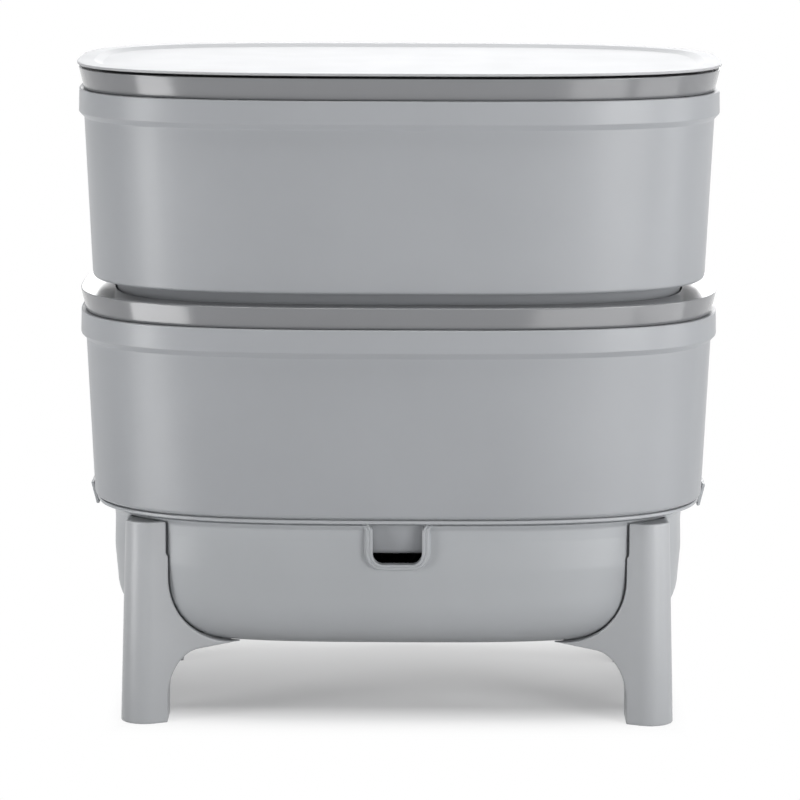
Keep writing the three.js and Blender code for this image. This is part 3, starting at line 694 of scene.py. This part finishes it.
tap_black = black("black_nylon", 0.42, 0.03)
tap_rubber = black("black_rubber", 0.72, 0.05)
shank = [(TAP_CHANNEL, SHANK_END), (SHANK_ROOT, SHANK_END)]
for k in range(18):
    shank += [(SHANK_ROOT, -28.4 + SHANK_PITCH * k), (SHANK_CREST, -27.6 + SHANK_PITCH * k)]
shank += [(7.6, -0.4), (7.6, 2.6)]
shank += eased([(7.6, 2.6, 0), (13.0, 2.6, 0.6), (13.0, 6.0, 1.2), (9.6, 6.0, 1.5), (9.0, 9.0, 0)])[1:]
shank += eased([(9.0, 9.0, 0), (9.0, 25.0, 2.6), (ON_AXIS, 25.0, 0), (ON_AXIS, 22.0, 0)])[1:]
shank += [(TAP_CHANNEL, 22.0)]
spout = eased(
    [
        (TAP_CHANNEL, 0.0, 0),
        (TAP_CHANNEL, -27.0, 0.4),
        (5.6, -27.0, 0.4),
        (6.2, -24.5, 0.5),
        (7.0, -24.0, 0.5),
        (7.0, 0.0, 0),
    ]
)
tower = eased([(PLUG_BORE, 0.0, 0), (8.0, 0.0, 0), (8.0, TOWER_TOP, 0.9), (PLUG_BORE, TOWER_TOP, 0)])
tap_parts = [
    along_tap(turned("shank", shank, looped=True)),
    on_spout(turned("spout", spout, looped=True)),
    on_spout(turned("tower", tower, looped=True)),
]
tap_piece = joined("tap_body_moulding", tap_parts)
shown(tap_piece, tap_black, "base_unit", 30)
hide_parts("tap_body")
washer_section = eased(
    [(TAP_BORE, 0.3, 0.5), (13.5, 0.3, 0.7), (13.5, 2.3, 0.7), (TAP_BORE, 2.3, 0.5)], looped=True
)
washer = along_tap(turned("tap_washer_ring", washer_section, looped=True))
shown(washer, tap_rubber, "base_unit")
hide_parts("tap_washer")
nut = turned("tap_nut_hexagon", [(11.5, -28.8), (11.5, -23.8)], sides=6)
carved(nut, [turned("nut_bore", [(TAP_BORE, -40.0), (TAP_BORE, -10.0)])])
along_tap(softened(nut, 0.5, 40))
shown(nut, tap_black, "base_unit", 30)
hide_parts("tap_nut")

# Drain tap, turning part. A black nylon plug with a cross port and a rubber ring in its groove, driven by a
# small ribbed lever that swings a quarter turn from closed, to the right, to open, straight out to the back.
PLUG_HALF = 5.0
PLUG_TOP = 16.5
GROOVE = (8.8, 10.0)
PORT = 2.25
LEVER_HALF = 4.5
LEVER_LOW = 13.5
LEVER_TOP = 19.5

plug_profile = eased(
    [
        (ON_AXIS, -6.0, 0),
        (PLUG_HALF, -6.0, 0.6),
        (PLUG_HALF, GROOVE[0], 0),
        (3.8, GROOVE[0], 0),
        (3.8, GROOVE[1], 0),
        (PLUG_HALF, GROOVE[1], 0),
        (PLUG_HALF, PLUG_TOP, 0.8),
        (ON_AXIS, PLUG_TOP, 0),
    ]
)
port = placed(turned("port", [(PORT, -10.0), (PORT, 10.0)], sides=32), turn_z=math.pi / 2, tip_x=math.pi / 2)
plug = on_spout(carved(turned("tap_plug_spindle", plug_profile), [port]))
shown(plug, tap_black, "tap_valve", 30)
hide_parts("tap_plug")
seal_section = eased([(3.9, 8.9, 0.4), (5.1, 8.9, 0.5), (5.1, 9.9, 0.5), (3.9, 9.9, 0.4)], looped=True)
seal = on_spout(turned("tap_seal_ring", seal_section, looped=True))
shown(seal, tap_rubber, "tap_valve")
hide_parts("tap_plug_ring")
lever_end = quarter((25.5, 0.0), (LEVER_HALF, LEVER_HALF), -90, 90, 20)
lever = slab("tap_lever", [(0.0, -LEVER_HALF), *lever_end, (0.0, LEVER_HALF)], LEVER_LOW, 18.7, "Z")
carved(lever, [turned("socket", [(PLUG_BORE, 0.0), (PLUG_BORE, 16.8)])])
softened(lever, 0.9, 50)
hub_section = eased(
    [
        (PLUG_BORE, LEVER_LOW, 0),
        (8.5, LEVER_LOW, 0.6),
        (8.5, LEVER_TOP, 1.2),
        (PLUG_BORE, LEVER_TOP, 0),
    ]
)
hub = turned("hub", hub_section, looped=True)
grips = [
    softened(slab("grip", rectangle((x, -3.2), (x + 1.2, 3.2)), 18.2, LEVER_TOP, "Z"), 0.4, 50)
    for x in (13.0, 16.0, 19.0, 22.0)
]
handle = on_spout(joined("tap_lever_moulding", [lever, hub, *grips]))
shown(handle, tap_black, "tap_valve", 30)
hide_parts("tap_handle")

# Trays. Two alike, injection moulded in the same grey with a finer, flatter surface, here drawn darker than
# the base as painted shade: a tapering wall, a skirt that stands out below the rim, and a plinth that drops
# into the level below, to stand on its collar's shelf.
# The plinth's floor is pierced for the worms and the liquid.
TRAY_WALL = 2.6
TRAY_TOP = 150.7
PLINTH_FOOT = -32.5
PANEL_MIDDLE = 200.0
DRAIN_RADIUS = 3.0
DRAIN_PITCH = 42.0
LEVELS = (("lower", 172.6), ("upper", 349.8))

tray_profile = eased(
    [
        (PANEL_MIDDLE, PLINTH_FOOT, 0),
        (222.5, PLINTH_FOOT, 5.0),
        (227.5, -10.0, 14.0),
        (230.0, 0.0, 2.5),
        (246.7, 0.0, 3.2),
        (252.4, 127.9, 2.0),
        (256.6, 132.4, 1.6),
        (256.1, TRAY_TOP, 1.0),
        (249.8, TRAY_TOP, 0.8),
        (249.8, 125.7, 6.0),
        (244.2, 3.4, 5.0),
        (227.4, TRAY_WALL, 2.0),
        (224.9, TRAY_WALL / 2 - 10.0, 14.0),
        (219.9, TRAY_WALL + PLINTH_FOOT, 2.4),
        (PANEL_MIDDLE, TRAY_WALL + PLINTH_FOOT, 0),
    ]
)


def make_tray():
    """One tray with its drain holes, nine across and five deep."""
    holes = []
    for column in range(-4, 5):
        for row in range(-2, 3):
            hole = turned("hole", [(DRAIN_RADIUS, -45.0), (DRAIN_RADIUS, -15.0)], sides=24)
            holes.append(placed(hole, (column * DRAIN_PITCH, row * DRAIN_PITCH, 0)))
    return carved(swept_level("tray", tray_profile), [joined("holes", holes)])


# The trays' colour: the base's grey drawn darker, as painted shade.
tray_grey_painted_darker = moulded_plastic("satin_grey_tray_painted_darker", (0.305, 0.315, 0.331), 0.38, 1700, 0.018)
first_tray = make_tray()
unmoved_mesh = first_tray.data.copy()
for level, height in LEVELS:
    tray = first_tray if level == "lower" else twin(first_tray, unmoved_mesh)
    tray.name = level + "_tray_moulding"
    placed(tray, (0, 0, height))
    shown(tray, tray_grey_painted_darker, level + "_storey")
    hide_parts(level + "_tray")

# Tray collars. A separate polished ring in each tray's rim, glossier than the tray and drawn darker: partly
# its own darker grey, partly painted shade for the dark surroundings it reflects. It flares out to the line
# of the lid, is located by a tongue inside the tray, runs inwards from its top as a flat ledge, and goes down
# from there to the shelf that carries the plinth of the level above.
collar_profile = eased(
    [
        (252.5, 151.0, 0.5),
        (256.5, 168.0, 0.9),
        (254.1, 168.0, 0.6),
        (253.3, 167.2, 0.4),
        (229.0, 167.2, 0.9),
        (225.5, 144.4, 1.0),
        (212.5, 144.4, 0.8),
        (212.5, 142.0, 0.8),
        (227.9, 142.0, 1.5),
        (231.4, 164.8, 1.0),
        (253.3, 164.8, 0.8),
        (250.1, 153.4, 1.2),
        (247.5, 151.0, 1.0),
        (247.5, 145.0, 0.6),
        (249.5, 145.0, 0.6),
        (249.5, 151.0, 0.3),
    ],
    looped=True,
)
# The collar's colour: partly its own darker grey, partly painted shade for the dark surroundings it reflects.
collar_grey_and_painted_shade = moulded_plastic(
    "polished_grey_collar_painted_darker", (0.178, 0.182, 0.19), 0.15, 1100, 0.006, level=0.75, rough_spread=0.03
)
for level, height in LEVELS:
    collar = placed(swept_level(level + "_collar_ring", collar_profile, looped=True), (0, 0, height))
    shown(collar, collar_grey_and_painted_shade, level + "_storey")
    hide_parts(level + "_tray_collar")

# Lid. A thin satin panel with a shallow dish inside its rim; the rim hangs over the collar with a narrow
# shadow gap, the panel lies on the collar's ledge, and a short skirt underneath keeps it in place.
lid_profile = eased(
    [
        (225.8, 167.5, 0),
        (224.2, 158.2, 0.6),
        (226.6, 158.2, 0.6),
        (228.2, 167.5, 0.4),
        (237.5, 167.5, 0.8),
        (244.0, 170.0, 0.8),
        (257.5, 170.0, 0.7),
        (257.5, 172.1, 0.7),
        (244.0, 172.1, 2.5),
        (237.5, 169.7, 4.0),
        (PANEL_MIDDLE, 169.7, 0),
    ]
)
lid_grey = moulded_plastic("satin_pale_lid", (0.37, 0.375, 0.385), 0.46, 1900, 0.002, rough_spread=0.02)
lid_piece = placed(swept_level("lid_panel", lid_profile), (0, 0, LEVELS[1][1]))
shown(lid_piece, lid_grey, "cover")
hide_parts("lid")

# Studio. A white floor that keeps the object's soft shadow and passes into the white backdrop further out,
# with some of the backdrop's glow laid over the shadow as painted light, more of it towards the back.
# Soft lamps stand overhead, in front, at the left, at the right and behind, and three low white cards lie
# beside the object.
FLOOR_REACH = 40
CARD_HEIGHT = 0.012

floor_corners = [(x, y, 0) for x, y in rectangle((-FLOOR_REACH, -FLOOR_REACH), (FLOOR_REACH, FLOOR_REACH))]
floor_mesh = bpy.data.meshes.new("floor")
floor_mesh.from_pydata(floor_corners, [], [(0, 1, 2, 3)])
floor = bpy.data.objects.new("studio_floor", floor_mesh)
bpy.context.scene.collection.objects.link(floor)
floor_paper = bpy.data.materials.new("white_paper")
floor_paper.use_nodes = True
paper = floor_paper.node_tree
paper.nodes.remove(paper.nodes["Principled BSDF"])
fibres = fed(paper, "TexNoise", {"Scale": 300.0})["Fac"]
white = blended(paper, fibres, (0.92, 0.92, 0.925, 1), (0.96, 0.96, 0.965, 1))
ray = fed(paper, "LightPath", {})
shade = blended(paper, ray["Is Camera Ray"], (0.46, 0.46, 0.463, 1), white)
axes = fed(paper, "SeparateXYZ", {"Vector": fed(paper, "TexCoord", {})["Object"]})
beside = ranged(paper, reckoned(paper, "ABSOLUTE", axes["X"]), 0.17, 0.235, kind="SMOOTHSTEP")
before = ranged(paper, axes["Y"], -0.02, -0.17, kind="SMOOTHSTEP")
# Painted light: at least a fifth of the backdrop's glow lies over the floor's shadow, rising towards the
# back.
behind = ranged(paper, axes["Y"], -0.01, 0.35, first=0.22)
backdrop_and_painted_glow = reckoned(paper, "MAXIMUM", reckoned(paper, "MAXIMUM", beside, before), behind)
seen = reckoned(paper, "MAXIMUM", ray["Is Camera Ray"], ray["Is Glossy Ray"])
backdrop_share = reckoned(paper, "MULTIPLY", seen, backdrop_and_painted_glow)
matt = fed(paper, "BsdfDiffuse", {"Color": shade})["BSDF"]
backdrop = fed(paper, "Emission", {})["Emission"]
both = fed(paper, "MixShader", {"Fac": backdrop_share, 1: matt, 2: backdrop})["Shader"]
paper.links.new(both, paper.nodes["Material Output"].inputs["Surface"])
floor_mesh.materials.append(floor_paper)

world = bpy.data.worlds.new("studio")
bpy.context.scene.world = world
world.use_nodes = True
sky = world.node_tree
sky_ray = fed(sky, "LightPath", {})
sky_seen = reckoned(sky, "MAXIMUM", sky_ray["Is Camera Ray"], sky_ray["Is Glossy Ray"])
sky_level = ranged(sky, sky_seen, 0.0, 1.0, first=0.08)
sky.links.new(sky_level, sky.nodes["Background"].inputs["Strength"])
sky.nodes["Background"].inputs["Color"].default_value = (0.985, 0.99, 1.0, 1)


def soft_lamp(name, size, radiance):
    """An area lamp that the camera doesn't see, by its size in metres and its own brightness."""
    light = bpy.data.lights.new(name, "AREA")
    light.shape, light.size, light.size_y = "RECTANGLE", size[0], size[1]
    light.energy = radiance * math.pi * size[0] * size[1]
    lamp = bpy.data.objects.new(name, light)
    bpy.context.scene.collection.objects.link(lamp)
    lamp.visible_camera = False
    return lamp


def softbox(name, side, distance, height, size, radiance, aim=0.3):
    """A standing lamp: degrees to the right of the camera's side, metres away and up, aimed at a height."""
    lamp = soft_lamp(name, size, radiance)
    turn = math.radians(side)
    lamp.location = (distance * math.sin(turn), -distance * math.cos(turn), height)
    lamp.rotation_euler = (Vector((0, 0, aim)) - lamp.location).to_track_quat("-Z", "Y").to_euler()


def low_card(name, place, facing, size, radiance):
    """A white card lying beside the object: its middle, and the way it is turned in degrees."""
    lamp = soft_lamp(name, size, radiance)
    lamp.matrix_world = (
        Matrix.Translation((*place, CARD_HEIGHT))
        @ Matrix.Rotation(math.radians(facing), 4, "Z")
        @ Matrix.Rotation(math.pi, 4, "X")
    )


softbox("overhead", 0, 0.15, 2.2, (1.3, 1.1), 10.0)
softbox("front_softbox", 0, 2.6, 0.36, (2.2, 0.66), 0.6)
softbox("left_softbox", -60, 2.0, 0.42, (0.54, 0.78), 10.2, aim=0.4)
softbox("right_softbox", 43, 2.2, 0.5, (0.9, 0.94), 8.8, aim=0.4)
softbox("far_right_softbox", 78, 2.2, 0.5, (0.6, 0.94), 5.6, aim=0.4)
softbox("rear_softbox", 172, 2.6, 0.9, (1.8, 0.9), 2.6)
low_card("left_card", (-0.80, -0.49), 32, (0.60, 0.40), 4.7)
low_card("right_card", (0.56, -0.73), -52, (0.70, 0.38), 2.0)
low_card("far_right_card", (0.93, -0.34), -20, (0.60, 0.62), 1.6)

# Camera. A long lens a little above the upper tray, at the photograph's height, tilt and slight turn.
CAMERA_PLACE = (0.0116, -3.032, 0.7542)
CAMERA_TURN = math.radians(0.196)
CAMERA_TILT = math.radians(90 - 9.60)
CAMERA_ROLL = math.radians(0.2)

view = bpy.data.cameras.new("camera")
view.lens, view.sensor_width = 168.93, 36.0
view.clip_start, view.clip_end = 0.05, 200.0
camera = bpy.data.objects.new("camera", view)
bpy.context.scene.collection.objects.link(camera)
camera.matrix_world = (
    Matrix.Translation(CAMERA_PLACE)
    @ Matrix.Rotation(CAMERA_TURN, 4, "Z")
    @ Matrix.Rotation(CAMERA_TILT, 4, "X")
    @ Matrix.Rotation(CAMERA_ROLL, 4, "Z")
)
bpy.context.scene.camera = camera
bpy.context.scene.view_settings.view_transform = "Standard"
